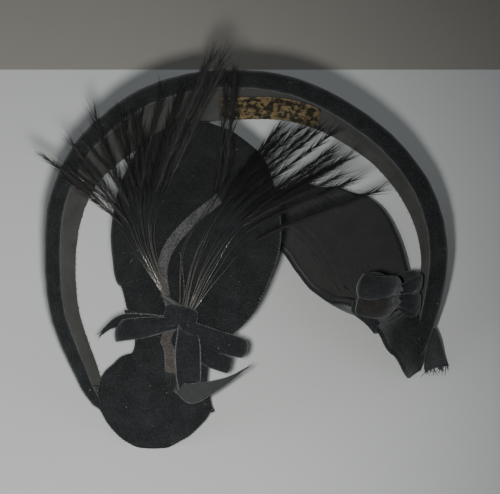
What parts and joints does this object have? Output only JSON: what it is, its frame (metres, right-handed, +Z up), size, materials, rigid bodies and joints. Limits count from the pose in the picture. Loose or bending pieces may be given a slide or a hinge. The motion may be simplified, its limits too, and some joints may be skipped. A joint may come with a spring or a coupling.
{
  "type": "hat",
  "caption": "Open arched velvet hat: a curved band with a rolled edge, leaf-shaped side lobes, tied ribbon bows and a spray of stripped feathers.",
  "frame": {"origin": "under the middle of the hat's box, on the surface it rests on", "axes": "+X to the hat's right in the picture, +Y from the two lobes towards the top of the arch, +Z up from the surface"},
  "size_m": [0.1812, 0.1648, 0.1294],
  "materials": {
    "velvet": "short pile, near black with a blue-grey bloom",
    "lining_cloth": "thin woven lining, dark brown-grey",
    "label_cloth": "ochre satin, bare",
    "ribbon": "velvet face, beige-grey plain back",
    "feathers": "stripped quills with wispy barbs, slightly glossy"
  },
  "bodies": {
    "root": {"band": "velvet", "edge_roll": "velvet", "band_lining": "lining_cloth", "label": "label_cloth", "left_leaf": "velvet", "right_leaf": "velvet", "right_leaf_lining": "lining_cloth", "left_neck_wrap": "ribbon", "right_neck_wrap": "ribbon", "left_bow": "ribbon", "right_bow": "ribbon", "right_tail": "ribbon", "feather_spray": "feathers"}
  },
  "joints": []
}
